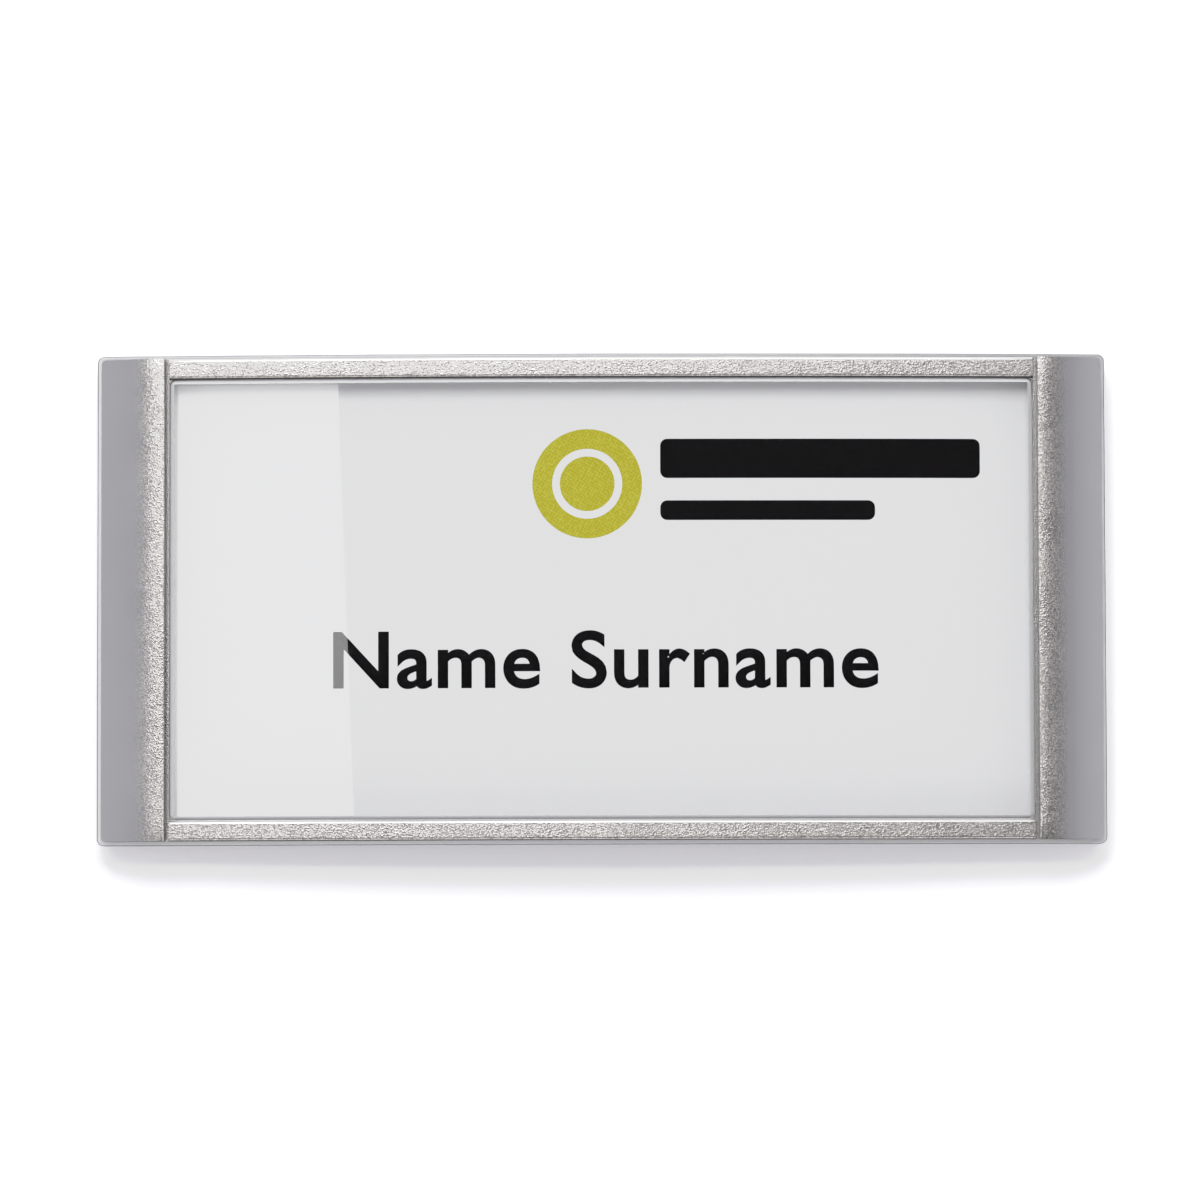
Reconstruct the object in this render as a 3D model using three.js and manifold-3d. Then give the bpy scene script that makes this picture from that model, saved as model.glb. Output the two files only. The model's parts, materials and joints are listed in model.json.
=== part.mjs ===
// A clip-together name badge, lying on its back with its face up, in millimetres.
// X runs along the width, Y towards the badge's upper edge, Z up from the surface that it lies on.
// The shells are drawn flat and then bent together into one slight arch along the width.
import * as THREE from "three";
import { mergeVertices } from "three/addons/utils/BufferGeometryUtils.js";
import Module from "manifold-3d";

const wasm = await Module();
wasm.setup();

// Outline of the whole badge, and its arch along the width
const badgeWidth = 72;
const badgeHeight = 35;
const badgeCorner = 0.5;
const archRise = 1.5;
const archSteps = 16;

// Back tray
const trayFloor = 1.2;
const trayEndWall = 1.1;
const trayDepth = 2.2;
const trayEdgeRound = 0.1;
const trayPocketCorner = 0.8;
const stopWidth = 1;

// Frame: the rim of the tray stays bare round it
const rimWidth = 0.32;
const frameBase = 0.5;
const railWidth = 1.42;
const railRise = 0.35;
const railRound = 0.2;
const railEndRound = 0.08;
const grooveWidth = 0.3;
const bandWidth = 4.6;
const bandRise = 0.85;
const bandFoot = 0.3;
const bandCrown = 1.7;
const bandInnerRound = 0.12;
const bandEndRound = 0.25;

// Window, with the bevel along its face and the flange that the frame traps
const openingCorner = 0.45;
const windowSink = 0.15;
const windowBevel = 0.26;
const flangeReach = 0.55;

// Card and fastener
const cardThickness = 0.3;
const barLength = 45;
const barWidth = 13;
const barThickness = 1.8;
const barCorner = 1.5;
const barEdge = 0.3;
const padMargin = 0.5;
const padRelief = 0.15;
const padRoot = 0.3;

// Clearances between the pieces
const seamGap = 0.05;
const windowGap = 0.08;
const pocketGap = 0.15;
const glueGap = 0.05;

// How far a cutting block reaches past the faces that it cuts
const cutMargin = 1;

// Fineness of the round edges
const cornerSteps = 3;
const edgeSteps = 3;
const bandSteps = 8;

// Levels above the tray's flat underside, before the arch
const cardBottom = trayFloor + seamGap;
const cardTop = cardBottom + cardThickness;
const frameBottom = trayDepth + seamGap;
const grooveLevel = frameBottom + frameBase;
const railTop = grooveLevel + railRise;
const bandTop = grooveLevel + bandRise;
const windowBottom = cardTop + seamGap;
const windowTop = railTop - windowSink;
const flangeTop = frameBottom - seamGap;

// Half sizes in plan
const frameHalfX = badgeWidth / 2 - rimWidth;
const frameHalfY = badgeHeight / 2 - rimWidth;
const bandInnerX = frameHalfX - bandWidth;
const baseHalfX = bandInnerX + bandCrown;
const openingHalfX = bandInnerX - grooveWidth;
const openingHalfY = frameHalfY - railWidth;
const windowHalfX = openingHalfX - windowGap;
const windowHalfY = openingHalfY - windowGap;
const flangeHalfX = windowHalfX + flangeReach;
const flangeHalfY = windowHalfY + flangeReach;
const pocketHalfX = badgeWidth / 2 - trayEndWall;
const pocketHalfY = flangeHalfY + pocketGap;
const stopInnerX = flangeHalfX + pocketGap;
const cardHalfX = flangeHalfX;
const cardHalfY = flangeHalfY;
const padHalfX = barLength / 2 + padMargin;
const padHalfY = barWidth / 2 + padMargin;

// The arch: an arc of a large circle, followed in equal straight steps that all the shells share
const archRadius = ((badgeWidth / 2) ** 2 + archRise ** 2) / (2 * archRise);
const archStep = badgeWidth / archSteps;

function arcHeight(x) {
  return Math.sqrt(archRadius ** 2 - x ** 2) - archRadius + archRise;
}

function archHeight(x) {
  const place = (x + badgeWidth / 2) / archStep;
  const step = Math.min(Math.max(Math.floor(place), 0), archSteps - 1);
  const startX = -badgeWidth / 2 + step * archStep;
  return THREE.MathUtils.lerp(arcHeight(startX), arcHeight(startX + archStep), place - step);
}

// The bar lies on the surface, and the pad above it sets the height of the tray's ends
const padBottom = barThickness + glueGap;
const trayBase = padBottom + padRelief - archHeight(padHalfX);
const padTop = trayBase + archHeight(0) + padRoot;

// Solids

function solidOf(geometry) {
  const bare = geometry.index ? geometry.toNonIndexed() : geometry.clone();
  bare.deleteAttribute("normal");
  bare.deleteAttribute("uv");
  const merged = mergeVertices(bare, 1e-4);
  return new wasm.Manifold(
    new wasm.Mesh({
      numProp: 3,
      vertProperties: new Float32Array(merged.attributes.position.array),
      triVerts: new Uint32Array(merged.index.array),
    }),
  );
}

function geometryOf(solid) {
  const mesh = solid.getMesh();
  const geometry = new THREE.BufferGeometry();
  geometry.setAttribute("position", new THREE.BufferAttribute(mesh.vertProperties, mesh.numProp));
  geometry.setIndex(new THREE.BufferAttribute(mesh.triVerts, 1));
  return geometry;
}

function roundedRectangle(halfX, halfY, radius) {
  const shape = new THREE.Shape();
  shape.moveTo(halfX, -halfY + radius);
  shape.lineTo(halfX, halfY - radius);
  shape.absarc(halfX - radius, halfY - radius, radius, 0, Math.PI / 2);
  shape.lineTo(-halfX + radius, halfY);
  shape.absarc(-halfX + radius, halfY - radius, radius, Math.PI / 2, Math.PI);
  shape.lineTo(-halfX, -halfY + radius);
  shape.absarc(-halfX + radius, -halfY + radius, radius, Math.PI, 1.5 * Math.PI);
  shape.lineTo(halfX - radius, -halfY);
  shape.absarc(halfX - radius, -halfY + radius, radius, 1.5 * Math.PI, 2 * Math.PI);
  return shape;
}

// A plate with round corners, from one level up to another
function plate(halfX, halfY, radius, bottom, top) {
  const shape = roundedRectangle(halfX, halfY, radius);
  const options = { depth: top - bottom, bevelEnabled: false, curveSegments: cornerSteps };
  return new THREE.ExtrudeGeometry(shape, options).translate(0, 0, bottom);
}

// A block that cuts right through between two levels
function cutter(halfX, halfY, radius, bottom, top) {
  return plate(halfX, halfY, radius, bottom - cutMargin, top + cutMargin);
}

// The same plate with its upper and lower edges rounded off, or bevelled when steps is 1
function softPlate(halfX, halfY, radius, bottom, top, edge, steps) {
  const shape = roundedRectangle(halfX, halfY, radius);
  const options = {
    depth: top - bottom - 2 * edge,
    bevelEnabled: true,
    bevelThickness: edge,
    bevelSize: edge,
    bevelOffset: -edge,
    bevelSegments: steps,
    curveSegments: cornerSteps,
  };
  return new THREE.ExtrudeGeometry(shape, options).translate(0, 0, bottom + edge);
}

// Cuts each triangle where a step of the arch crosses it, so that the shell can bend there
function cutAtSteps(geometry) {
  const source = geometry.index ? geometry.toNonIndexed() : geometry;
  const position = source.getAttribute("position");
  const nearStep = 0.01;
  const points = [];
  let polygons = [];
  for (let i = 0; i < position.count; i += 3) {
    polygons.push([0, 1, 2].map((k) => new THREE.Vector3().fromBufferAttribute(position, i + k)));
  }
  for (let step = 1; step < archSteps; step++) {
    const stepX = -badgeWidth / 2 + step * archStep;
    polygons = polygons.flatMap((polygon) => splitPolygon(polygon, stepX, nearStep));
  }
  for (const polygon of polygons) {
    for (let k = 1; k < polygon.length - 1; k++) {
      points.push(polygon[0], polygon[k], polygon[k + 1]);
    }
  }
  return new THREE.BufferGeometry().setFromPoints(points);
}

// Splits a polygon at one X; a corner that lies near the cut counts as on it
function splitPolygon(polygon, cutX, near) {
  const sides = polygon.map((p) => (Math.abs(p.x - cutX) < near ? 0 : Math.sign(p.x - cutX)));
  if (!sides.includes(1) || !sides.includes(-1)) {
    return [polygon];
  }
  const below = [];
  const above = [];
  polygon.forEach((point, i) => {
    const next = (i + 1) % polygon.length;
    if (sides[i] <= 0) {
      below.push(point);
    }
    if (sides[i] >= 0) {
      above.push(point);
    }
    if (sides[i] * sides[next] < 0) {
      const crossing = crossingAt(point, polygon[next], cutX);
      below.push(crossing);
      above.push(crossing);
    }
  });
  return [below, above];
}

// Both triangles at an edge take its ends in the same order, so their new corners agree
function crossingAt(a, b, cutX) {
  const [left, right] = a.x < b.x ? [a, b] : [b, a];
  const crossing = left.clone().lerp(right, (cutX - left.x) / (right.x - left.x));
  crossing.x = cutX;
  return crossing;
}

// Bends a flat shell into the arch and lifts it to its place above the bar
function bent(geometry) {
  const shell = cutAtSteps(geometry);
  const position = shell.getAttribute("position");
  for (let i = 0; i < position.count; i++) {
    position.setZ(i, position.getZ(i) + archHeight(position.getX(i)) + trayBase);
  }
  return shell;
}

// Pieces

// The flat base ends under the crowns of the bands, which fall away below its level at the outside
function frontFrame() {
  const base = plate(baseHalfX, frameHalfY, bandEndRound, frameBottom, grooveLevel);
  const opening = cutter(openingHalfX, openingHalfY, openingCorner, frameBottom, bandTop);
  let frame = solidOf(base);
  for (const side of [-1, 1]) {
    frame = frame.add(solidOf(rail(side))).add(solidOf(band(side)));
  }
  return bent(geometryOf(frame.subtract(solidOf(opening))));
}

// A rail runs from groove to groove; its section is a bar with its two upper edges rounded
function rail(side) {
  const section = (inset) => {
    const arcLevel = railTop - inset - railRound;
    return [
      new THREE.Vector2(openingHalfY, frameBottom),
      new THREE.Vector2(frameHalfY, frameBottom),
      ...quarterArc(frameHalfY - railRound, arcLevel, railRound, 0),
      ...quarterArc(openingHalfY + railRound, arcLevel, railRound, Math.PI / 2),
    ];
  };
  const geometry = softRun(section, openingHalfX, railEndRound, (u, v, run) => new THREE.Vector3(run, u, v));
  return side > 0 ? geometry : geometry.rotateZ(Math.PI);
}

// A band's section is flat beside the groove, then falls away to a low foot at the outside
function band(side) {
  const section = (inset) => {
    const innerX = bandInnerX + inset;
    const outerX = frameHalfX - inset;
    const top = bandTop - inset;
    const roundX = innerX + bandInnerRound;
    const foot = new THREE.Vector2(outerX, frameBottom + bandFoot - inset);
    const crown = new THREE.Vector2(bandInnerX + bandCrown, top);
    const brow = new THREE.Vector2(roundX, top);
    return [
      new THREE.Vector2(innerX, frameBottom),
      new THREE.Vector2(outerX, frameBottom),
      ...new THREE.QuadraticBezierCurve(foot, crown, brow).getPoints(bandSteps),
      ...quarterArc(roundX, top - bandInnerRound, bandInnerRound, Math.PI / 2).slice(1),
    ];
  };
  const geometry = softRun(section, frameHalfY, bandEndRound, (u, v, run) => new THREE.Vector3(u, -run, v));
  return side > 0 ? geometry : geometry.rotateZ(Math.PI);
}

function quarterArc(centreU, centreV, radius, from) {
  const curve = new THREE.EllipseCurve(centreU, centreV, radius, radius, from, from + Math.PI / 2);
  return curve.getPoints(edgeSteps);
}

// Runs a section from one end to the other and draws it in along a quarter circle at both ends
function softRun(section, half, round, place) {
  const stations = [];
  for (let step = 0; step <= edgeSteps; step++) {
    const angle = (step / edgeSteps) * (Math.PI / 2);
    stations.push({ inset: round * (1 - Math.sin(angle)), run: half - round * (1 - Math.cos(angle)) });
  }
  const ends = stations.map(({ inset, run }) => ({ inset, run: -run }));
  const rings = [...ends, ...stations.reverse()].map(({ inset, run }) =>
    section(inset).map((point) => place(point.x, point.y, run)),
  );
  return loft(rings, section(round));
}

// Joins rings of equally many points into one closed surface; the cap's outline is triangulated once
function loft(rings, capOutline) {
  const points = [];
  const count = rings[0].length;
  for (let r = 0; r < rings.length - 1; r++) {
    for (let i = 0; i < count; i++) {
      const next = (i + 1) % count;
      const [a, b] = [rings[r][i], rings[r][next]];
      const [c, d] = [rings[r + 1][i], rings[r + 1][next]];
      points.push(a, b, d, a, d, c);
    }
  }
  const last = rings.length - 1;
  for (const [i, j, k] of THREE.ShapeUtils.triangulateShape(capOutline, [])) {
    points.push(rings[0][k], rings[0][j], rings[0][i]);
    points.push(rings[last][i], rings[last][j], rings[last][k]);
  }
  return new THREE.BufferGeometry().setFromPoints(points);
}

// The pane is drawn deeper than it is, so that the cut below takes its lower bevel away
function clearWindow() {
  const pane = softPlate(
    windowHalfX,
    windowHalfY,
    openingCorner - windowGap,
    windowBottom - cutMargin,
    windowTop,
    windowBevel,
    1,
  );
  const waste = plate(flangeHalfX, flangeHalfY, openingCorner, windowBottom - 2 * cutMargin, windowBottom);
  const flange = plate(flangeHalfX, flangeHalfY, openingCorner, windowBottom, flangeTop);
  return bent(geometryOf(solidOf(pane).subtract(solidOf(waste)).add(solidOf(flange))));
}

function insertCard() {
  return bent(plate(cardHalfX, cardHalfY, openingCorner, cardBottom, cardTop));
}

function backTray() {
  const block = softPlate(
    badgeWidth / 2,
    badgeHeight / 2,
    badgeCorner,
    0,
    trayDepth,
    trayEdgeRound,
    edgeSteps,
  );
  const pocket = plate(pocketHalfX, pocketHalfY, trayPocketCorner, trayFloor, trayDepth + cutMargin);
  const tray = solidOf(block).subtract(solidOf(pocket));
  const stopped = [-1, 1].reduce((solid, side) => solid.add(solidOf(cardStop(side))), tray);
  const pad = plate(padHalfX, padHalfY, barCorner, padBottom, padTop);
  return geometryOf(solidOf(bent(geometryOf(stopped))).add(solidOf(pad)));
}

// A rib across the tray's floor that keeps the card and the window's flange from sliding sideways
function cardStop(side) {
  const length = 2 * (pocketHalfY + pocketGap);
  const height = trayDepth - trayFloor / 2;
  const rib = new THREE.BoxGeometry(stopWidth, length, height);
  return rib.translate(side * (stopInnerX + stopWidth / 2), 0, trayFloor / 2 + height / 2);
}

function magnetBar() {
  return softPlate(barLength / 2, barWidth / 2, barCorner, 0, barThickness, barEdge, 1);
}

// Finishes

const silverGrain = new THREE.MeshStandardMaterial({ color: 0xb9b8b6, roughness: 0.38, metalness: 0.85 });
const silverSmooth = new THREE.MeshStandardMaterial({ color: 0xb4b3b5, roughness: 0.45, metalness: 0.8 });
const clearPlastic = new THREE.MeshStandardMaterial({
  color: 0xf4f6f7,
  roughness: 0.04,
  metalness: 0,
  transparent: true,
  opacity: 0.25,
});
const whitePaper = new THREE.MeshStandardMaterial({ color: 0xe9e9ea, roughness: 0.9, metalness: 0 });
const platedSteel = new THREE.MeshStandardMaterial({ color: 0xa7a9ab, roughness: 0.35, metalness: 1 });

const badge = new THREE.Group();

function place(name, geometry, material) {
  const mesh = new THREE.Mesh(geometry, material);
  mesh.name = name;
  badge.add(mesh);
}

place("front_frame", frontFrame(), silverGrain);
place("window", clearWindow(), clearPlastic);
place("insert_card", insertCard(), whitePaper);
place("back_tray", backTray(), silverSmooth);
place("magnet_bar", magnetBar(), platedSteel);

export default badge;
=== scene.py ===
import json
import math

import bmesh
import bpy
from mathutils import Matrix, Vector

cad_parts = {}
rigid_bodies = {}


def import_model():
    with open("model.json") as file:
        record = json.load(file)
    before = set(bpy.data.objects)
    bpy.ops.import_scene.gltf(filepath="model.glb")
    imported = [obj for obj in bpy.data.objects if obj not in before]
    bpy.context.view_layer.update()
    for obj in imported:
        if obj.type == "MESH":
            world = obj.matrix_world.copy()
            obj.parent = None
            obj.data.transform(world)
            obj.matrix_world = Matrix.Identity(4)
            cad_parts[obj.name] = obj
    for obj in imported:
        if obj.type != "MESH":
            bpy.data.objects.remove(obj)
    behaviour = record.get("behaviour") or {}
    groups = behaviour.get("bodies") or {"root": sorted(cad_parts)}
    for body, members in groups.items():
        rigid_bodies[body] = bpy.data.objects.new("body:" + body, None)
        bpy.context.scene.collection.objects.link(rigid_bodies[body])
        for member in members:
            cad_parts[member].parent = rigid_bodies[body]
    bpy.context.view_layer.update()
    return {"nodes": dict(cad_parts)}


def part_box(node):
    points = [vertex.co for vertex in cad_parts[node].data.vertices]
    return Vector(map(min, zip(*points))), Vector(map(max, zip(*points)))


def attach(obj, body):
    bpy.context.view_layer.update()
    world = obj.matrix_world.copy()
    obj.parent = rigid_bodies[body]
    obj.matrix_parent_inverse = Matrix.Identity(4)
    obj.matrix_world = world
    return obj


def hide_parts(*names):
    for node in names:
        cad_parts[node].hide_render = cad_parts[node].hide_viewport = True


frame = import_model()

# A clip-together name badge that lies face up: silver frame with two end bands, clear window, printed card,
# smooth tray and a flat bar behind. Sizes in the dictionaries are millimetres, degrees or plain shares.

mm = 0.001
print("frame loaded:", ", ".join(frame["nodes"]))


# Shared sizes. Levels count from the tray's underside, before the shells are arched.
badge = {
    "width": 72.0,
    "height": 35.0,
    "archRise": 1.5,
    "archSlices": 32,
    "seam": 0.05,
    "opening": (30.78, 15.76),      # half sizes
    "openingCorner": 0.45,
    "windowTop": 2.95,
}
archRadius = ((badge["width"] / 2) ** 2 + badge["archRise"] ** 2) / (2 * badge["archRise"])
archTrim = 0.006                    # the model's arch is drawn in straight steps, a hair lower than an arc
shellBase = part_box("window")[1][2] / mm - badge["windowTop"] - badge["archRise"]


def archHeight(x):
    # height in metres of the arch above its ends, for a place in metres
    r = archRadius * mm
    return math.sqrt(r ** 2 - x ** 2) - r + (badge["archRise"] - archTrim) * mm


# Camera: almost straight down, a little from the badge's lower side, with a long lens
camera = {
    "distance": 450.0,
    "tilt": 3.5,
    "roll": -0.15,
    "lens": 189.7,
    "sensor": 36,
    "aim": (-0.18, -0.1, 4.6),
    "clip": (10, 20000),            # nearest and farthest place that is seen
}


def setCamera():
    c = camera
    tilt = math.radians(c["tilt"])
    aim = Vector(c["aim"]) * mm
    back = Vector((0, -math.sin(tilt), math.cos(tilt)))
    bpy.ops.object.camera_add(location=aim + back * c["distance"] * mm)
    cam = bpy.context.active_object
    cam.name = "photo_camera"
    cam.rotation_euler = (tilt, 0, math.radians(c["roll"]))
    cam.data.lens = c["lens"]
    cam.data.sensor_width = c["sensor"]
    cam.data.clip_start, cam.data.clip_end = (place * mm for place in c["clip"])
    bpy.context.scene.camera = cam


# Lamps: a narrow softbox just to the left of the lens, a wide one towards the badge's upper side, a wider
# one that keeps the table white, and a fill from the badge's lower side for the tray's rim. left and up are
# angles off the vertical, far the way to the lamp, wide and long its sides, turn its own turn, and only
# names the piece that it lights alone.
lamps = {
    "left_softbox": {"left": 13.95, "up": 16, "far": 900, "wide": 140, "long": 620, "turn": 7, "glow": 3.4},
    "upper_softbox": {"left": 3.8, "up": 30, "far": 920, "wide": 460, "long": 500, "turn": 0, "glow": 6.1},
    "table_softbox": {
        "left": 0, "up": 30, "far": 915, "wide": 1300, "long": 470, "turn": 0, "glow": 3.9,
        "only": "table_top",
    },
    "rim_fill": {
        "left": 0, "up": -18, "far": 900, "wide": 900, "long": 400, "turn": 0, "glow": 3.2,
        "only": "tray_shell",
    },
}
sky = {
    "tint": (0.985, 0.98, 1.06),
    "strength": 1.0,
    # sideways place in the sky, from full left to full right, and the brightness there
    "stops": (
        (0.0, 0.85), (0.12, 0.72), (0.2, 0.52), (0.34, 0.27), (0.43, 0.04),
        (0.6, 0.03), (0.7, 0.06), (0.8, 0.25), (0.88, 0.85), (1.0, 1.1),
    ),
    # the walls beyond the badge's upper and lower side: where they begin, are full, and their brightness
    "walls": ((0.6, 0.8, 0.9), (-0.6, -0.8, 1.4)),
}
# the shoulder of the picture's tones: scene brightness and what is shown for it
tone = ((0.0, 0.0), (0.3, 0.3), (0.6, 0.6), (0.75, 0.733), (1.08, 0.815), (1.2, 0.91), (1.32, 1.0))


def setTone():
    view = bpy.context.scene.view_settings
    view.view_transform = "Standard"
    view.use_curve_mapping = True
    top = tone[-1][0]
    view.curve_mapping.white_level = (top, top, top)
    curve = view.curve_mapping.curves[-1]
    for bright, shown in tone[1:-1]:
        curve.points.new(bright / top, shown)
    view.curve_mapping.update()


def setLamps():
    for name, lamp in lamps.items():
        left, up = math.radians(lamp["left"]), math.radians(lamp["up"])
        away = Vector((-math.tan(left), math.tan(up), 1)).normalized()
        turned = (-up, -left, math.radians(lamp["turn"]))
        bpy.ops.object.light_add(type="AREA", location=away * lamp["far"] * mm, rotation=turned)
        light = bpy.context.active_object
        light.name = name
        light.data.shape = "RECTANGLE"
        light.data.size = lamp["wide"] * mm
        light.data.size_y = lamp["long"] * mm
        light.data.energy = lamp["glow"] * math.pi * light.data.size * light.data.size_y
        if "only" in lamp:
            only = bpy.data.collections.new(name + "_only")
            only.objects.link(bpy.data.objects[lamp["only"]])
            light.light_linking.receiver_collection = only


def setSky():
    # the studio around the badge, as its silver reflects it
    world = bpy.data.worlds.new("studio_air")
    bpy.context.scene.world = world
    world.use_nodes = True
    tree = world.node_tree
    direction = addNode(tree, "ShaderNodeTexCoord")
    sides = addNode(tree, "ShaderNodeSeparateXYZ", {0: direction.outputs["Generated"]})
    across = addNode(
        tree, "ShaderNodeMapRange", {"Value": sides.outputs["X"], "From Min": -1.0, "From Max": 1.0}
    )
    ramp = addNode(tree, "ShaderNodeValToRGB", {0: across.outputs["Result"]})
    steps = ramp.color_ramp.elements
    middle = 0.5
    while len(steps) < len(sky["stops"]):
        steps.new(middle)
    for step, (place, level) in zip(steps, sky["stops"]):
        step.position = place
        step.color = (*(level * c for c in sky["tint"]), 1)
    light = ramp.outputs["Color"]
    for start, full, bright in sky["walls"]:
        wall = spread(tree, sides.outputs["Y"], 0, 1, start, full)
        light = blend(tree, wall, light, (bright, bright, bright, 1))
    background = tree.nodes["Background"]
    tree.links.new(light, background.inputs["Color"])
    background.inputs["Strength"].default_value = sky["strength"]


# Material helpers: each finish is a Principled shader with noise chains on Object coordinates
def newFinish(name, **sockets):
    finish = bpy.data.materials.new(name)
    finish.use_nodes = True
    shader = finish.node_tree.nodes["Principled BSDF"]
    for socket, value in sockets.items():
        shader.inputs[socket.replace("_", " ")].default_value = value
    return finish, finish.node_tree, shader


def addNode(tree, kind, inputs=None, **settings):
    node = tree.nodes.new(kind)
    for key, value in settings.items():
        setattr(node, key, value)
    for key, value in (inputs or {}).items():
        if isinstance(value, bpy.types.NodeSocket):
            tree.links.new(value, node.inputs[key])
        else:
            node.inputs[key].default_value = value
    return node


def placeOf(tree, stretch=(1, 1, 1), turn=0.0):
    # Object coordinates in millimetres, stretched or turned
    coordinates = addNode(tree, "ShaderNodeTexCoord")
    mapping = addNode(
        tree,
        "ShaderNodeMapping",
        {
            "Vector": coordinates.outputs["Object"],
            "Scale": tuple(s / mm for s in stretch),
            "Rotation": (0, 0, math.radians(turn)),
        },
    )
    return mapping.outputs["Vector"]


def noise(tree, place, size, detail=2.0, roughness=0.5):
    # size is the width of one grain in millimetres
    return addNode(
        tree,
        "ShaderNodeTexNoise",
        {"Vector": place, "Scale": 1 / size, "Detail": detail, "Roughness": roughness},
    )


def spread(tree, value, low, high, fromLow=0.3, fromHigh=0.7):
    node = addNode(
        tree,
        "ShaderNodeMapRange",
        {"Value": value, "From Min": fromLow, "From Max": fromHigh, "To Min": low, "To Max": high},
    )
    return node.outputs["Result"]


def blend(tree, share, first, second):
    node = addNode(tree, "ShaderNodeMix", data_type="RGBA")
    wanted = (("Factor", "VALUE", share), ("A", "RGBA", first), ("B", "RGBA", second))
    for socket, kind, value in wanted:
        slot = [s for s in node.inputs if s.name == socket and s.type == kind][0]
        if isinstance(value, bpy.types.NodeSocket):
            tree.links.new(value, slot)
        else:
            slot.default_value = value
    return [s for s in node.outputs if s.type == "RGBA"][0]


def bump(tree, shader, height, depth, under=None):
    # depth is the relief's real depth in millimetres
    inputs = {"Height": height, "Distance": depth * mm, "Strength": 1.0}
    if under:
        inputs["Normal"] = under
    node = addNode(tree, "ShaderNodeBump", inputs)
    tree.links.new(node.outputs["Normal"], shader.inputs["Normal"])
    return node.outputs["Normal"]


# Finishes of the badge
grainySilver = {
    "light": (0.70, 0.672, 0.648, 1),
    "dark": (0.32, 0.308, 0.296, 1),
    "even": (0.50, 0.495, 0.495, 1),
    "grain": 0.098,
    "grainDepth": 0.0185,
    "pebbleTones": (0.15, 0.85),    # pebbles below and above these shares are fully dark or light
    "fine": 0.3,                    # depth of the fine grain as a share of the pebbles'
    "fade": (32.1, 33.35),          # the grain dies away between these places on the bands
    "cloud": 3.0,
    "roughness": (0.29, 0.35),
    # dark tone painted into the grooves between bands, rails and window: painted shade
    "groove": (0.31, 0.305, 0.30, 1),
    # near-black colour for the painted shade lines along the rails and under the bands
    "seam": (0.03, 0.029, 0.028, 1),
    "shadeShare": 0.85,              # how far the painted shade of a groove or dark line replaces the grain's colour
}


def grainySilverFinish(name="silver_grain_paint", shadeKey=None, metallic=0.9, specular=0.5):
    g = grainySilver
    finish, tree, shader = newFinish(name, Metallic=metallic, Specular_IOR_Level=specular)
    place = placeOf(tree)
    sides = addNode(tree, "ShaderNodeSeparateXYZ", {0: place})
    reach = addNode(tree, "ShaderNodeMath", {0: sides.outputs["X"]}, operation="ABSOLUTE")
    coarse = spread(tree, reach.outputs[0], 1, 0, *g["fade"])
    pebbles = addNode(tree, "ShaderNodeTexVoronoi", {"Vector": place, "Scale": 1 / g["grain"]})
    pebbleTone = spread(tree, pebbles.outputs["Color"], 0, 1, *g["pebbleTones"])
    tone = blend(tree, pebbleTone, g["dark"], g["light"])
    tone = blend(tree, coarse, g["even"], tone)
    # a groove or dark line mixes the grain towards its own painted shade colour
    if shadeKey:
        tone = blend(tree, g["shadeShare"], tone, g[shadeKey])
    tree.links.new(tone, shader.inputs["Base Color"])
    clouds = noise(tree, place, g["cloud"])
    rough = spread(tree, clouds.outputs["Fac"], *g["roughness"])
    tree.links.new(rough, shader.inputs["Roughness"])
    height = {0: pebbles.outputs["Distance"], 1: coarse}
    relief = addNode(tree, "ShaderNodeMath", height, operation="MULTIPLY")
    under = bump(tree, shader, relief.outputs[0], g["grainDepth"])
    fine = noise(tree, place, g["grain"], detail=2.0)
    bump(tree, shader, fine.outputs["Fac"], g["grainDepth"] * g["fine"], under=under)
    return finish


# smooth silver: the tray, the painted shade on its rounded edge, and the painted highlight on the rails'
# edges that face the badge's upper side
smoothSilver = {
    "silver_smooth_satin": {
        "light": (0.46, 0.46, 0.47, 1), "dark": (0.40, 0.40, 0.41, 1), "cloud": 2.2,
        "metal": 0.5, "roughness": (0.36, 0.44), "grain": 0.12, "grainDepth": 0.002,
    },
    # a dark finish for the tray's rounded top edge: painted shade for the dark line round the outline
    "silver_edge_satin": {
        "light": (0.16, 0.16, 0.165, 1), "dark": (0.11, 0.11, 0.115, 1), "cloud": 2.2,
        "metal": 0.2, "roughness": (0.5, 0.6), "grain": 0.12, "grainDepth": 0.002,
    },
    # near-white smooth silver: a painted highlight for the rails' edges that face the lamps
    "silver_bright_edge": {
        "light": (0.92, 0.91, 0.90, 1), "dark": (0.80, 0.79, 0.78, 1), "cloud": 2.2,
        "metal": 0.85, "roughness": (0.36, 0.42), "grain": 0.1, "grainDepth": 0.004,
    },
}


def smoothSilverFinish(name):
    g = smoothSilver[name]
    finish, tree, shader = newFinish(name, Metallic=g["metal"])
    place = placeOf(tree)
    clouds = noise(tree, place, g["cloud"], detail=4.0)
    tone = blend(tree, clouds.outputs["Fac"], g["dark"], g["light"])
    tree.links.new(tone, shader.inputs["Base Color"])
    rough = spread(tree, clouds.outputs["Fac"], *g["roughness"])
    tree.links.new(rough, shader.inputs["Roughness"])
    grain = noise(tree, place, g["grain"])
    bump(tree, shader, grain.outputs["Fac"], g["grainDepth"])
    return finish


clearPlastic = {
    "tint": (0.985, 0.99, 0.99, 1),
    "index": 1.49,
    "smudge": 5.0,
    "roughness": (0.0, 0.02),
    "ripple": 6.0,
    "rippleDepth": 0.0006,
}


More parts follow.
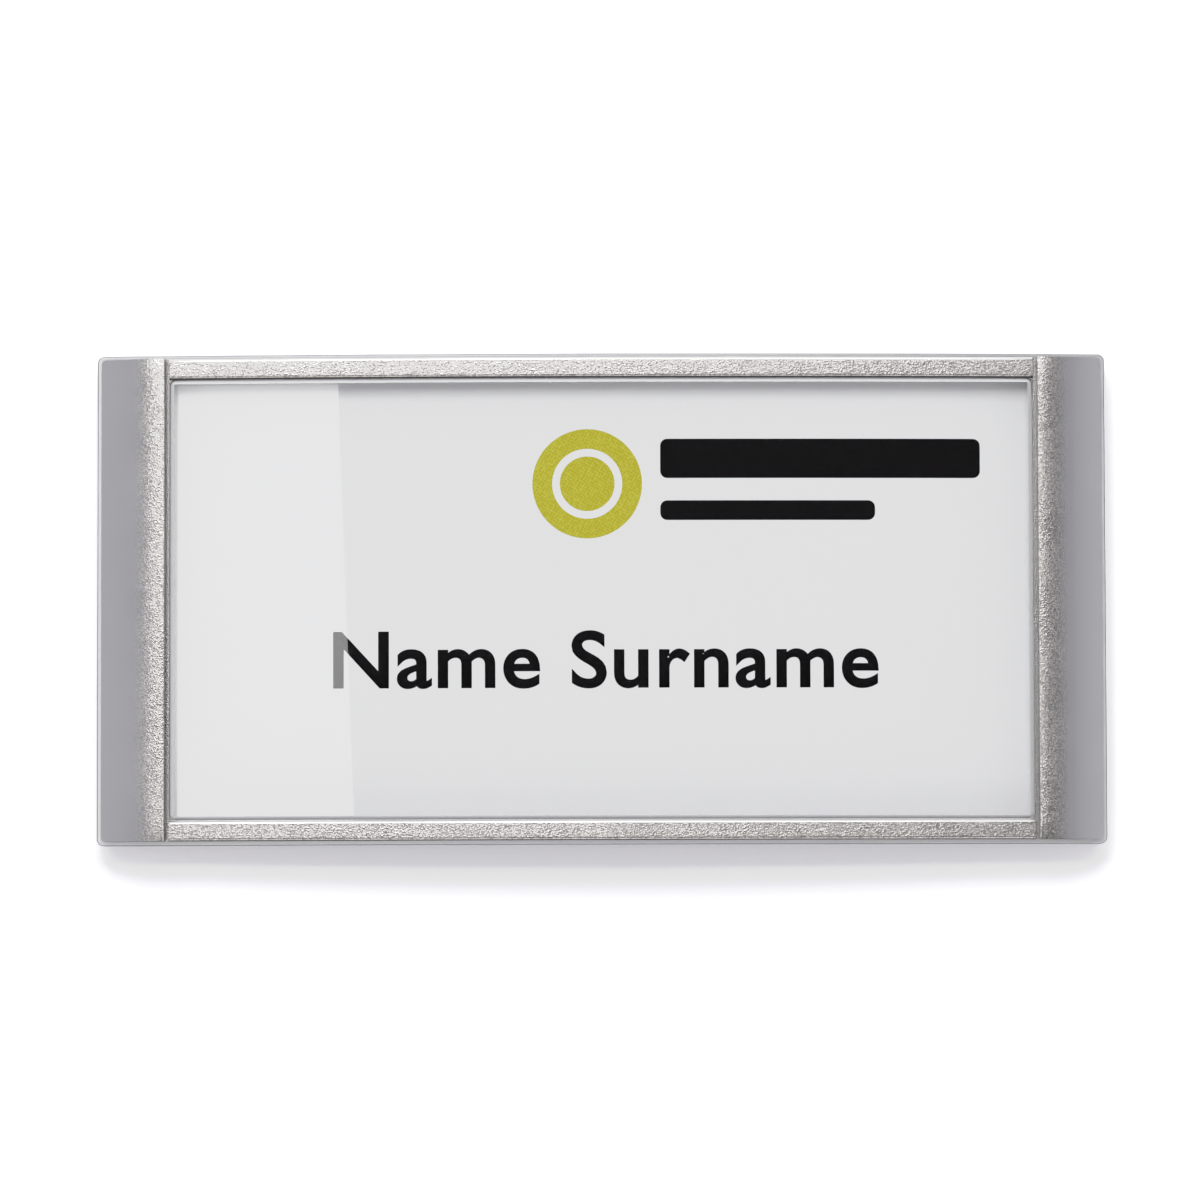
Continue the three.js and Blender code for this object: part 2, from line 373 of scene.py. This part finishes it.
def clearPlasticFinish():
    # shadow rays and soft light pass straight through, so that the card is lit through the window
    g = clearPlastic
    finish, tree, shader = newFinish(
        "clear_moulded_plastic", Base_Color=g["tint"], IOR=g["index"], Transmission_Weight=1.0
    )
    place = placeOf(tree)
    smudges = noise(tree, place, g["smudge"], detail=3.0)
    rough = spread(tree, smudges.outputs["Fac"], *g["roughness"])
    tree.links.new(rough, shader.inputs["Roughness"])
    ripples = noise(tree, place, g["ripple"], detail=0.0)
    bump(tree, shader, ripples.outputs["Fac"], g["rippleDepth"])
    path = addNode(tree, "ShaderNodeLightPath")
    soft = addNode(
        tree,
        "ShaderNodeMath",
        {0: path.outputs["Is Shadow Ray"], 1: path.outputs["Is Diffuse Ray"]},
        operation="MAXIMUM",
    )
    through = addNode(tree, "ShaderNodeBsdfTransparent")
    mix = addNode(
        tree,
        "ShaderNodeMixShader",
        {0: soft.outputs[0], 1: shader.outputs["BSDF"], 2: through.outputs["BSDF"]},
    )
    tree.links.new(mix.outputs[0], tree.nodes["Material Output"].inputs["Surface"])
    return finish


bevelLightLook = {
    "light": (0.97, 0.97, 0.98, 1),
    "dark": (0.85, 0.85, 0.87, 1),
    "roughness": 0.35,
    "scuff": 0.5,
    "scuffDepth": 0.003,
}


def bevelLightFinish():
    # a pale opaque finish on the window's clear bevel: painted light standing in for the light the bevel
    # refracts onto the card
    g = bevelLightLook
    finish, tree, shader = newFinish("frosted_plastic_edge", Roughness=g["roughness"])
    scuffs = noise(tree, placeOf(tree), g["scuff"], detail=4.0)
    tone = blend(tree, scuffs.outputs["Fac"], g["dark"], g["light"])
    tree.links.new(tone, shader.inputs["Base Color"])
    bump(tree, shader, scuffs.outputs["Fac"], g["scuffDepth"])
    return finish


whiteCard = {
    "light": (0.885, 0.885, 0.885, 1),
    "dark": (0.83, 0.83, 0.835, 1),
    "roughness": 0.85,
    "gloss": 0.25,
    "fibre": (0.9, 0.16),           # length and width
    "fibreDepth": 0.006,
}


def whiteCardFinish():
    g = whiteCard
    finish, tree, shader = newFinish(
        "white_matt_card", Roughness=g["roughness"], Specular_IOR_Level=g["gloss"]
    )
    along, across = g["fibre"]
    fibres = noise(tree, placeOf(tree, (1 / along, 1 / across, 1)), 1.0, detail=4.0, roughness=0.65)
    tone = blend(tree, fibres.outputs["Fac"], g["dark"], g["light"])
    tree.links.new(tone, shader.inputs["Base Color"])
    bump(tree, shader, fibres.outputs["Fac"], g["fibreDepth"])
    return finish


darkInkLook = {
    "dark": (0.002, 0.002, 0.002, 1),
    "worn": (0.006, 0.005, 0.006, 1),
    "roughness": 0.7,
    "gloss": 0.04,
    "mottle": 0.25,
    "mottleDepth": 0.002,
}


def darkInkFinish():
    g = darkInkLook
    finish, tree, shader = newFinish(
        "dark_printed_ink", Roughness=g["roughness"], Specular_IOR_Level=g["gloss"]
    )
    mottle = noise(tree, placeOf(tree), g["mottle"], detail=3.0)
    tone = blend(tree, mottle.outputs["Fac"], g["dark"], g["worn"])
    tree.links.new(tone, shader.inputs["Base Color"])
    bump(tree, shader, mottle.outputs["Fac"], g["mottleDepth"])
    return finish


# the tint is printed in fine dots, which show as a faint mottle
limeInkLook = {
    "full": (0.46, 0.42, 0.015, 1),
    "pale": (0.58, 0.55, 0.07, 1),
    "roughness": 0.75,
    "gloss": 0.3,
    "dot": 0.22,
    "dotTurn": 30,
    "dotStray": 0.35,
    "dotEdge": (0.35, 0.75),        # a dot begins and ends to pale this far from its middle
    "dotDepth": 0.001,
}


def limeInkFinish():
    g = limeInkLook
    finish, tree, shader = newFinish(
        "lime_printed_ink", Roughness=g["roughness"], Specular_IOR_Level=g["gloss"]
    )
    dots = addNode(
        tree,
        "ShaderNodeTexVoronoi",
        {"Vector": placeOf(tree, turn=g["dotTurn"]), "Scale": 1 / g["dot"], "Randomness": g["dotStray"]},
    )
    share = spread(tree, dots.outputs["Distance"], 0, 1, *g["dotEdge"])
    tone = blend(tree, share, g["full"], g["pale"])
    tree.links.new(tone, shader.inputs["Base Color"])
    bump(tree, shader, share, g["dotDepth"])
    return finish


brushedSteel = {
    "light": (0.66, 0.66, 0.65, 1),
    "dark": (0.5, 0.5, 0.5, 1),
    "drawn": 0.5,                   # how much the shine is drawn out along the strokes
    "stroke": (6.0, 0.06),          # length and width
    "strokeDepth": 0.002,
    "roughness": (0.26, 0.42),
}


def brushedSteelFinish():
    g = brushedSteel
    finish, tree, shader = newFinish("plated_brushed_steel", Metallic=1.0, Anisotropic=g["drawn"])
    along, across = g["stroke"]
    strokes = noise(tree, placeOf(tree, (1 / along, 1 / across, 1)), 1.0, detail=5.0, roughness=0.6)
    tone = blend(tree, strokes.outputs["Fac"], g["dark"], g["light"])
    tree.links.new(tone, shader.inputs["Base Color"])
    rough = spread(tree, strokes.outputs["Fac"], *g["roughness"])
    tree.links.new(rough, shader.inputs["Roughness"])
    bump(tree, shader, strokes.outputs["Fac"], g["strokeDepth"])
    return finish


# Modelling helpers
tolerance = 0.002                   # two places this near are the same, in millimetres
slack = 0.01                        # how far a face may lie past a border and still count, in millimetres
reachPast = 1.0                     # how far a cutter reaches past the piece
straight = 0.9                      # a face points along an axis when its normal has this share of it


def addBlock(name, halfX, halfY, bottom, top):
    bpy.ops.object.select_all(action="DESELECT")
    bpy.ops.mesh.primitive_cube_add(
        size=1,
        location=(0, 0, (bottom + top) / 2 * mm),
        scale=(2 * halfX * mm, 2 * halfY * mm, (top - bottom) * mm),
    )
    block = bpy.context.active_object
    block.name = name
    block.data.name = name
    bpy.ops.object.transform_apply(location=True, rotation=False, scale=True)
    return block


def near(value, target):
    return abs(value - target * mm) < tolerance * mm


def editPiece(piece):
    bpy.ops.object.select_all(action="DESELECT")
    piece.select_set(True)
    bpy.context.view_layer.objects.active = piece
    bpy.ops.object.mode_set(mode="EDIT")


def leaveEdit():
    bpy.ops.object.mode_set(mode="OBJECT")


def choose(kind, test):
    # picks the points, edges or faces of the piece in edit mode that pass the test
    bpy.ops.mesh.select_mode(type=kind)
    bpy.ops.mesh.select_all(action="DESELECT")
    data = bpy.context.active_object.data
    mesh = bmesh.from_edit_mesh(data)
    parts = {"VERT": mesh.verts, "EDGE": mesh.edges, "FACE": mesh.faces}[kind]
    for part in parts:
        if test(part):
            part.select_set(True)
    mesh.select_flush_mode()
    bmesh.update_edit_mesh(data)


def bevelChosen(width, segments):
    bpy.ops.mesh.bevel(offset=width * mm, segments=segments, profile=0.5, affect="EDGES", clamp_overlap=True)


def isUpright(edge):
    a, b = (v.co for v in edge.verts)
    return near(a.x - b.x, 0) and near(a.y - b.y, 0)


def isSharp(edge):
    # its two faces stand about square to each other
    return edge.calc_face_angle(0) > 1


def isChamfer(edge):
    # its two faces meet at about 45 degrees
    return 0.6 < edge.calc_face_angle(0) < 1.0


def roundCorners(radius, segments):
    choose("EDGE", isUpright)
    bevelChosen(radius, segments)


def sliceAt(place, direction, snap=0.1):
    # points nearer to the slice than snap are taken as on it
    bpy.ops.mesh.select_all(action="SELECT")
    bpy.ops.mesh.bisect(plane_co=place, plane_no=direction, threshold=snap * mm)


def columnOf(v):
    # points whose places across agree to a thousandth of a millimetre stand in one column
    return round(v.co.x, 6)


def columnsOf(test):
    mesh = bmesh.from_edit_mesh(bpy.context.active_object.data)
    return sorted({columnOf(v) for v in mesh.verts if test(v)})


def archPiece():
    # slices the flat piece across, then lifts each column of points by the arch's height at its place
    bpy.ops.mesh.select_mode(type="VERT")
    half = badge["width"] / 2
    for step in range(1, badge["archSlices"]):
        sliceAt(((-half + step * badge["width"] / badge["archSlices"]) * mm, 0, 0), (1, 0, 0))
    for x in columnsOf(lambda v: True):
        choose("VERT", lambda v: columnOf(v) == x)
        bpy.ops.transform.translate(value=(0, 0, archHeight(x) + shellBase * mm))


def cutWith(piece, cutter, how="DIFFERENCE"):
    bpy.ops.object.select_all(action="DESELECT")
    bpy.context.view_layer.objects.active = piece
    modifier = piece.modifiers.new("cut", "BOOLEAN")
    modifier.operation = how
    modifier.solver = "EXACT"
    modifier.object = cutter
    bpy.ops.object.modifier_apply(modifier=modifier.name)
    bpy.data.objects.remove(cutter)


def giveFinishes(piece, main, *others):
    # the piece's main finish, then each other one for the faces that pass its test
    piece.data.materials.clear()
    piece.data.materials.append(main)
    editPiece(piece)
    for finish, test in others:
        piece.data.materials.append(finish)
        choose("FACE", test)
        piece.active_material_index = len(piece.data.materials) - 1
        bpy.ops.object.material_slot_assign()
    leaveEdit()


def finishPiece(piece, finish, node, smooth=30):
    # smooth shading whose flat faces stay flat, then the finish if it has none; the node it stands for is
    # hidden and the piece joins the root body
    bpy.ops.object.select_all(action="DESELECT")
    piece.select_set(True)
    bpy.context.view_layer.objects.active = piece
    bpy.ops.object.shade_smooth_by_angle(angle=math.radians(smooth))
    modifier = piece.modifiers.new("even_normals", "WEIGHTED_NORMAL")
    modifier.keep_sharp = True
    bpy.ops.object.modifier_apply(modifier=modifier.name)
    if not piece.data.materials:
        piece.data.materials.append(finish)
    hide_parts(node)
    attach(piece, "root")
    print("made", piece.name, "with", len(piece.data.polygons), "faces")


# Frame moulding
frameSizes = {
    "half": (35.68, 17.18),
    "corner": 0.3,
    "bottom": 2.25,
    "groove": 2.75,
    "rail": 0.35,
    "railCrown": 0.2,               # rounding of the rails' edges towards the badge's upper side
    "railRound": 0.2,
    "railEndRound": 0.08,
    "bandInner": 31.08,
    "band": 0.85,
    "bandRound": 0.2,
    "bandShoulder": 0.07,           # the rounded edge beside the groove
    "brow": 31.53,                  # the band's section: highest here
    "dip": 0.022,                   # and so much lower beside the groove
    "crown": 32.78,                 # then drawn towards this place
    "foot": 2.55,                   # and down to this level at the outside
    "bandSlices": 14,
    "browSlices": 4,
    "snap": 0.001,                  # exact slices, so that the corners' own points stay where they are
    "railFoot": 0.05,               # an edge higher than this above the groove belongs to the rail
    # the Y of the normals of faces: painted shade outside the first pair, a painted highlight within the
    # second, and painted shade below the last on the lower side of the bands, in a strip of this reach
    "shadeFacing": (-0.75, 0.95),
    "highlightFacing": (0.1, 0.95),
    "footFacing": -0.5,
    "footReach": 0.15,
}


def bandShare(x):
    # share of the band's height above the frame's underside that is left at a place across the band
    f = frameSizes
    x = abs(x) / mm
    if x <= f["brow"]:
        return 1.0
    start, pull, end = f["brow"], f["crown"], f["half"][0]
    a = start - 2 * pull + end
    b = 2 * (pull - start)
    t = (-b + math.sqrt(max(b * b - 4 * a * (start - x), 0))) / (2 * a)
    top = f["groove"] + f["band"]
    level = (1 - t * t) * top + t * t * f["foot"]
    return (level - f["bottom"]) / (top - f["bottom"])


def makeFrame(finish, grooveShadeFinish, shadeLineFinish, edgeFinish):
    f = frameSizes
    halfX, halfY = f["half"]
    openX, openY = badge["opening"]
    moulding = addBlock("frame_moulding", halfX, halfY, f["bottom"], f["groove"])
    editPiece(moulding)
    roundCorners(f["corner"], segments=4)
    leaveEdit()
    hole = addBlock("hole", openX, openY, f["bottom"] - reachPast, f["groove"] + reachPast)
    editPiece(hole)
    roundCorners(badge["openingCorner"], segments=5)
    leaveEdit()
    cutWith(moulding, hole)

    editPiece(moulding)
    for side in (-1, 1):
        sliceAt((side * f["bandInner"] * mm, 0, 0), (1, 0, 0), f["snap"])
        sliceAt((side * openX * mm, 0, 0), (1, 0, 0), f["snap"])
        sliceAt((0, side * openY * mm, 0), (0, 1, 0), f["snap"])

    def upward(face):
        return face.normal.z > straight and near(face.calc_center_median().z, f["groove"])

    def onRail(face):
        centre = face.calc_center_median()
        return upward(face) and abs(centre.y) > openY * mm and abs(centre.x) < openX * mm

    choose("FACE", onRail)
    bpy.ops.mesh.extrude_region_move(TRANSFORM_OT_translate={"value": (0, 0, f["rail"] * mm)})
    choose("FACE", lambda face: upward(face) and abs(face.calc_center_median().x) > f["bandInner"] * mm)
    bpy.ops.mesh.extrude_region_move(TRANSFORM_OT_translate={"value": (0, 0, f["band"] * mm)})

    railTop = f["groove"] + f["rail"]
    bandTop = f["groove"] + f["band"]

    def railEdge(edge, side):
        a, b = (v.co for v in edge.verts)
        alongTop = near(a.z, railTop) and near(b.z, railTop) and near(a.y - b.y, 0)
        facing = any(side * face.normal.y > straight for face in edge.link_faces)
        return alongTop and facing and isSharp(edge)

    choose("EDGE", lambda edge: railEdge(edge, 1))
    bevelChosen(f["railCrown"], segments=6)
    choose("EDGE", lambda edge: railEdge(edge, -1))
    bevelChosen(f["railRound"], segments=4)

    def railEnd(edge):
        a, b = (v.co for v in edge.verts)
        atEnd = near(abs(a.x), openX) and near(abs(b.x), openX)
        raised = min(a.z, b.z) > (f["groove"] + f["railFoot"]) * mm
        return atEnd and raised

    choose("EDGE", railEnd)
    bevelChosen(f["railEndRound"], segments=2)

    def bandRim(edge):
        a, b = (v.co for v in edge.verts)
        return near(a.z, bandTop) and near(b.z, bandTop) and isSharp(edge)

    def bandShoulder(edge):
        return bandRim(edge) and all(near(abs(v.co.x), f["bandInner"]) for v in edge.verts)

    choose("EDGE", bandShoulder)
    bevelChosen(f["bandShoulder"], segments=6)
    choose("EDGE", bandRim)
    bevelChosen(f["bandRound"], segments=4)

    # the band's section: sliced lengthwise, then each column is squashed towards the frame's underside
    bpy.ops.mesh.select_mode(type="VERT")
    for side in (-1, 1):
        for step in range(f["bandSlices"]):
            x = f["brow"] + step * (halfX - f["brow"]) / f["bandSlices"]
            sliceAt((side * x * mm, 0, 0), (1, 0, 0))
        for step in range(1, f["browSlices"]):
            x = f["bandInner"] + step / f["browSlices"] * (f["brow"] - f["bandInner"])
            sliceAt((side * x * mm, 0, 0), (1, 0, 0))

    def onBand(v):
        return abs(v.co.x) > (f["brow"] + tolerance) * mm and v.co.z > (f["bottom"] + tolerance) * mm

    for x in columnsOf(onBand):
        choose("VERT", lambda v: columnOf(v) == x and onBand(v))
        bpy.ops.transform.resize(
            value=(1, 1, bandShare(x)), orient_type="GLOBAL", center_override=(x, 0, f["bottom"] * mm)
        )

    def besideGroove(v):
        return f["bandInner"] - slack < abs(v.co.x) / mm < f["brow"] and v.co.z > railTop * mm

    for x in columnsOf(besideGroove):
        choose("VERT", lambda v: columnOf(v) == x and besideGroove(v))
        share = (f["brow"] - abs(x) / mm) / (f["brow"] - f["bandInner"])
        bpy.ops.transform.translate(value=(0, 0, -f["dip"] * share ** 2 * mm))

    # groove and opening floor faces that get the painted shade
    def inShadedGroove(face):
        centre = face.calc_center_median()
        if centre.z < (f["bottom"] + slack) * mm or abs(centre.x) > (f["bandInner"] + slack) * mm:
            return False
        inOpening = abs(centre.x) < (openX + slack) * mm and abs(centre.y) < (openY + slack) * mm
        return inOpening or abs(centre.x) > openX * mm

    def alongRail(face, reach):
        # faces at most so far in from the rails' long sides
        centre = face.calc_center_median()
        reaches = (abs(centre.y) / mm - openY, halfY - abs(centre.y) / mm)
        raised = centre.z > (f["bottom"] + slack) * mm
        return raised and abs(centre.x) < openX * mm and min(abs(r) for r in reaches) < reach

    # rail faces turned away from the lamps get a near-black painted shade line
    def inShadeLine(face):
        low, high = f["shadeFacing"]
        return alongRail(face, f["railRound"]) and not low <= face.normal.y <= high

    # rail edges turned towards the upper lamps get the painted highlight instead of the grain
    def onPaintedHighlight(face):
        low, high = f["highlightFacing"]
        return alongRail(face, f["railCrown"]) and low < face.normal.y < high

    # band faces at the lower side that face away from the lamps get the same painted shade
    def shadeBelowBand(face):
        centre = face.calc_center_median()
        atFoot = centre.y < (f["footReach"] - halfY) * mm and face.normal.y < f["footFacing"]
        return atFoot and abs(centre.x) > f["bandInner"] * mm

    def isPaintedShade(face):
        return inShadeLine(face) or shadeBelowBand(face)

    leaveEdit()
    giveFinishes(
        moulding,
        finish,
        (grooveShadeFinish, inShadedGroove),
        (shadeLineFinish, isPaintedShade),
        (edgeFinish, onPaintedHighlight),
    )
    editPiece(moulding)
    archPiece()
    leaveEdit()
    finishPiece(moulding, finish, "front_frame", smooth=35)


# Clear window
windowSizes = {
    "half": (30.7, 15.68),
    "corner": 0.37,
    "bottom": 1.6,
    "flangeTop": 2.2,
    "flange": 0.55,
    "bevel": 0.26,
    "soft": 0.035,
    "aboveFlange": 0.1,             # a part that lies higher than this above the flange belongs to the bevel
    "bevelFacing": (0.2, 0.95),     # how far up the bevel's faces point
}


def makeWindow(finish, edgeFinish):
    w = windowSizes
    top = badge["windowTop"]
    pane = addBlock("clear_pane", *w["half"], w["bottom"], top)
    editPiece(pane)
    roundCorners(w["corner"], segments=5)
    sliceAt((0, 0, w["flangeTop"] * mm), (0, 0, 1))

    def lowerSide(face):
        upright = abs(face.normal.z) < 1 - straight
        return upright and face.calc_center_median().z < w["flangeTop"] * mm

    choose("FACE", lowerSide)
    bpy.ops.mesh.extrude_region_shrink_fatten(
        TRANSFORM_OT_shrink_fatten={"value": w["flange"] * mm, "use_even_offset": True}
    )

    def topEdge(edge):
        a, b = (v.co for v in edge.verts)
        return near(a.z, top) and near(b.z, top) and isSharp(edge)

    choose("EDGE", topEdge)
    bevelChosen(w["bevel"], segments=1)
    bevelFoot = (w["flangeTop"] + w["aboveFlange"]) * mm

    def bevelEdge(edge):
        return isChamfer(edge) and min(v.co.z for v in edge.verts) > bevelFoot

    choose("EDGE", bevelEdge)
    bevelChosen(w["soft"], segments=2)

    # bevel faces that get the pale painted light finish
    def onBevel(face):
        low, high = w["bevelFacing"]
        return low < face.normal.z < high and face.calc_center_median().z > bevelFoot

    leaveEdit()
    giveFinishes(pane, finish, (edgeFinish, onBevel))
    editPiece(pane)
    archPiece()
    leaveEdit()
    finishPiece(pane, finish, "window")


# Printed card
cardSizes = {"half": (31.25, 16.23), "corner": 0.45, "bottom": 1.25, "top": 1.55}


def makeCard(finish):
    c = cardSizes
    card = addBlock("white_card", *c["half"], c["bottom"], c["top"])
    editPiece(card)
    roundCorners(c["corner"], segments=5)
    archPiece()
    leaveEdit()
    finishPiece(card, finish, "insert_card")
    return card


# Back tray
traySizes = {
    "corner": 0.5,
    "depth": 2.2,
    "floor": 1.2,
    "edgeRound": 0.1,
    "pocket": (34.9, 16.38),
    "pocketCorner": 0.8,
    "stop": (31.4, 1.0),            # inner face and width
    "stopTop": 2.2,
    "stopRoot": (0.1, 0.2),         # how far the stops reach into the wall and the floor
    "pad": (23.0, 7.0),
    "padCorner": 1.5,
    "padRoot": 0.3,
    "padEdge": 0.05,
    "edgeFacing": (0.1, 0.97),      # how far up the faces of the wall's rounded edge point
}


def makeTray(finish, edgeFinish):
    t = traySizes
    tray = addBlock("tray_shell", badge["width"] / 2, badge["height"] / 2, 0, t["depth"])
    editPiece(tray)
    roundCorners(t["corner"], segments=6)
    choose("EDGE", lambda edge: isSharp(edge) and not isUpright(edge))
    bevelChosen(t["edgeRound"], segments=4)
    leaveEdit()
    pocket = addBlock("pocket", *t["pocket"], t["floor"], t["depth"] + reachPast)
    editPiece(pocket)
    roundCorners(t["pocketCorner"], segments=4)
    leaveEdit()
    cutWith(tray, pocket)
    inner, width = t["stop"]
    intoWall, intoFloor = t["stopRoot"]
    for side in (-1, 1):
        stop = addBlock("stop", width / 2, t["pocket"][1] + intoWall, t["floor"] - intoFloor, t["stopTop"])
        editPiece(stop)
        bpy.ops.mesh.select_all(action="SELECT")
        bpy.ops.transform.translate(value=(side * (inner + width / 2) * mm, 0, 0))
        leaveEdit()
        cutWith(tray, stop, "UNION")

    # the tray's rounded outer top edge gets the darker painted shade
    def onShadedTopEdge(face):
        low, high = t["edgeFacing"]
        return low < face.normal.z < high and face.calc_center_median().z > (t["depth"] - t["edgeRound"]) * mm

    giveFinishes(tray, finish, (edgeFinish, onShadedTopEdge))
    editPiece(tray)
    archPiece()
    leaveEdit()
    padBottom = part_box("magnet_bar")[1][2] / mm + badge["seam"]
    pad = addBlock("pad", *t["pad"], padBottom, shellBase + badge["archRise"] + t["padRoot"])
    editPiece(pad)
    roundCorners(t["padCorner"], segments=8)
    choose("EDGE", lambda edge: all(near(v.co.z, padBottom) for v in edge.verts))
    bevelChosen(t["padEdge"], segments=2)
    leaveEdit()
    cutWith(tray, pad, "UNION")
    finishPiece(tray, finish, "back_tray")


# Steel bar
barSizes = {"corner": 1.5, "edge": 0.3, "soft": 0.06}


def makeBar(finish):
    b = barSizes
    low, high = (Vector(corner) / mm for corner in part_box("magnet_bar"))
    bar = addBlock("steel_bar", high.x, high.y, low.z, high.z)
    editPiece(bar)
    roundCorners(b["corner"], segments=10)
    choose("EDGE", lambda edge: isSharp(edge) and not isUpright(edge))
    bevelChosen(b["edge"], segments=1)
    choose("EDGE", isChamfer)
    bevelChosen(b["soft"], segments=2)
    leaveEdit()
    finishPiece(bar, finish, "magnet_bar")


# Print on the card: placeholder words, a disc with a ring, and two plain bars
printSizes = {
    "ink": 0.006,                   # thickness of the ink
    "lift": 0.004,                  # its clearance over the card
    "hover": 8.0,                   # the height from which the flat print is dropped
    "dropSlice": 1.0,               # width of the strips in which it follows the arch
    "nameText": "Name Surname",
    "nameCap": 4.15,
    "nameBaseline": -6.4,
    "nameSpan": (-19.1, 19.7),
    "nameBold": 0.018,
    "nameSpacing": 1.06,
    "nameSteps": 8,
    "discCentre": (-1.0, 8.2),
    "discRadius": 3.9,
    "discPoints": 96,
    "ringWidth": 0.55,
    "ringRadius": 2.5,
    "bars": ((4.2, 27.0, 8.6, 11.4), (4.2, 19.5, 5.6, 7.0)),   # left, right, lower and upper edge
    "barCorner": 0.5,
}


def layOnCard(piece, card):
    # drops the flat print onto the arched card and gives it its ink thickness
    p = printSizes
    bpy.ops.object.select_all(action="DESELECT")
    piece.select_set(True)
    bpy.context.view_layer.objects.active = piece
    bpy.ops.object.transform_apply(location=True, rotation=True, scale=True)
    editPiece(piece)
    bpy.ops.mesh.select_mode(type="VERT")
    steps = int(cardSizes["half"][0] / p["dropSlice"])
    for step in range(-steps, steps + 1):
        sliceAt((step * p["dropSlice"] * mm, 0, 0), (1, 0, 0))
    leaveEdit()
    wrap = piece.modifiers.new("lay_down", "SHRINKWRAP")
    wrap.target = card
    wrap.wrap_method = "PROJECT"
    wrap.use_project_z = True
    wrap.use_negative_direction = True
    wrap.use_positive_direction = False
    wrap.wrap_mode = "ABOVE_SURFACE"
    wrap.offset = (p["lift"] + p["ink"]) * mm
    bpy.ops.object.modifier_apply(modifier=wrap.name)
    thick = piece.modifiers.new("ink", "SOLIDIFY")
    thick.thickness = p["ink"] * mm
    thick.offset = -1
    bpy.ops.object.modifier_apply(modifier=thick.name)


def finishPrint(piece, finish):
    piece.data.materials.clear()
    piece.data.materials.append(finish)
    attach(piece, "root")
    print("printed", piece.name, "with", len(piece.data.polygons), "faces")


def makeLettering(card, finish):
    p = printSizes
    bpy.ops.object.select_all(action="DESELECT")
    bpy.ops.object.text_add(location=(0, 0, 0))
    text = bpy.context.active_object
    text.name = "name_lettering"
    text.data.body = p["nameText"]
    text.data.size = 1
    text.data.offset = p["nameBold"]
    text.data.space_character = p["nameSpacing"]
    text.data.resolution_u = p["nameSteps"]
    bpy.ops.object.convert(target="MESH")
    text = bpy.context.active_object
    points = [v.co for v in text.data.vertices]
    left = min(v.x for v in points)
    right = max(v.x for v in points)
    bottom = min(v.y for v in points)
    capHeight = max(v.y for v in points) - bottom
    start, end = p["nameSpan"]
    stretchX = (end - start) * mm / (right - left)
    stretchY = p["nameCap"] * mm / capHeight
    text.scale = (stretchX, stretchY, 1)
    baseline = p["nameBaseline"] * mm - bottom * stretchY
    text.location = (start * mm - left * stretchX, baseline, p["hover"] * mm)
    layOnCard(text, card)
    finishPrint(text, finish)


def makeDiscAndBars(card, darkInk, limeInk):
    p = printSizes
    x, y = p["discCentre"]
    bpy.ops.object.select_all(action="DESELECT")
    bpy.ops.mesh.primitive_circle_add(
        vertices=p["discPoints"],
        radius=p["discRadius"] * mm,
        fill_type="NGON",
        location=(x * mm, y * mm, p["hover"] * mm),
    )
    disc = bpy.context.active_object
    disc.name = "printed_disc"
    disc.data.name = "printed_disc"
    editPiece(disc)
    bpy.ops.mesh.select_all(action="SELECT")
    bpy.ops.mesh.inset(thickness=(p["discRadius"] - p["ringRadius"]) * mm)
    bpy.ops.mesh.inset(thickness=p["ringWidth"] * mm)

    def onRing(face):
        return near(max(v.co.xy.length for v in face.verts), p["ringRadius"])

    choose("FACE", onRing)
    bpy.ops.mesh.delete(type="FACE")
    leaveEdit()
    layOnCard(disc, card)
    finishPrint(disc, limeInk)

    for number, (left, right, lower, upper) in enumerate(p["bars"], 1):
        bpy.ops.object.select_all(action="DESELECT")
        middle = ((left + right) / 2 * mm, (lower + upper) / 2 * mm, p["hover"] * mm)
        bpy.ops.mesh.primitive_plane_add(size=1, location=middle)
        bar = bpy.context.active_object
        bar.name = f"printed_bar_{number}"
        bar.data.name = bar.name
        bar.scale = ((right - left) * mm, (upper - lower) * mm, 1)
        bpy.ops.object.transform_apply(location=False, rotation=False, scale=True)
        editPiece(bar)
        bpy.ops.mesh.select_all(action="SELECT")
        bpy.ops.mesh.bevel(offset=p["barCorner"] * mm, segments=6, affect="VERTICES")
        leaveEdit()
        layOnCard(bar, card)
        finishPrint(bar, darkInk)


# Floor
floorLook = {
    "size": 1600,
    "colour": (0.93, 0.93, 0.935, 1),
    "liftTint": (1.0, 0.965, 1.02, 1),
    "lift": 0.19,                   # a faint glow that keeps the shadow light
    "gloss": 0.1,
    "cloud": 40.0,
    "roughness": (0.75, 0.85),
}


def makeFloor():
    f = floorLook
    bpy.ops.object.select_all(action="DESELECT")
    bpy.ops.mesh.primitive_plane_add(size=f["size"] * mm)
    floor = bpy.context.active_object
    floor.name = "table_top"
    finish, tree, shader = newFinish(
        "pale_table",
        Base_Color=f["colour"],
        Specular_IOR_Level=f["gloss"],
        Emission_Color=f["liftTint"],
        Emission_Strength=f["lift"],
    )
    cloud = noise(tree, placeOf(tree), f["cloud"])
    rough = spread(tree, cloud.outputs["Fac"], *f["roughness"])
    tree.links.new(rough, shader.inputs["Roughness"])
    floor.data.materials.append(finish)


makeFloor()
makeFrame(
    grainySilverFinish(),
    grainySilverFinish("silver_groove_paint", shadeKey="groove"),
    # a near-black matt finish painted as shade along the rails' dark lines
    grainySilverFinish("silver_seam_paint", shadeKey="seam", metallic=0.0, specular=0.0),
    smoothSilverFinish("silver_bright_edge"),
)
makeWindow(clearPlasticFinish(), bevelLightFinish())
whiteCardPiece = makeCard(whiteCardFinish())
makeTray(smoothSilverFinish("silver_smooth_satin"), smoothSilverFinish("silver_edge_satin"))
makeBar(brushedSteelFinish())
print("badge modelled")

darkInk = darkInkFinish()
makeLettering(whiteCardPiece, darkInk)
makeDiscAndBars(whiteCardPiece, darkInk, limeInkFinish())
print("card printed")

setLamps()
setSky()
setCamera()
setTone()
print("lamps and camera set")
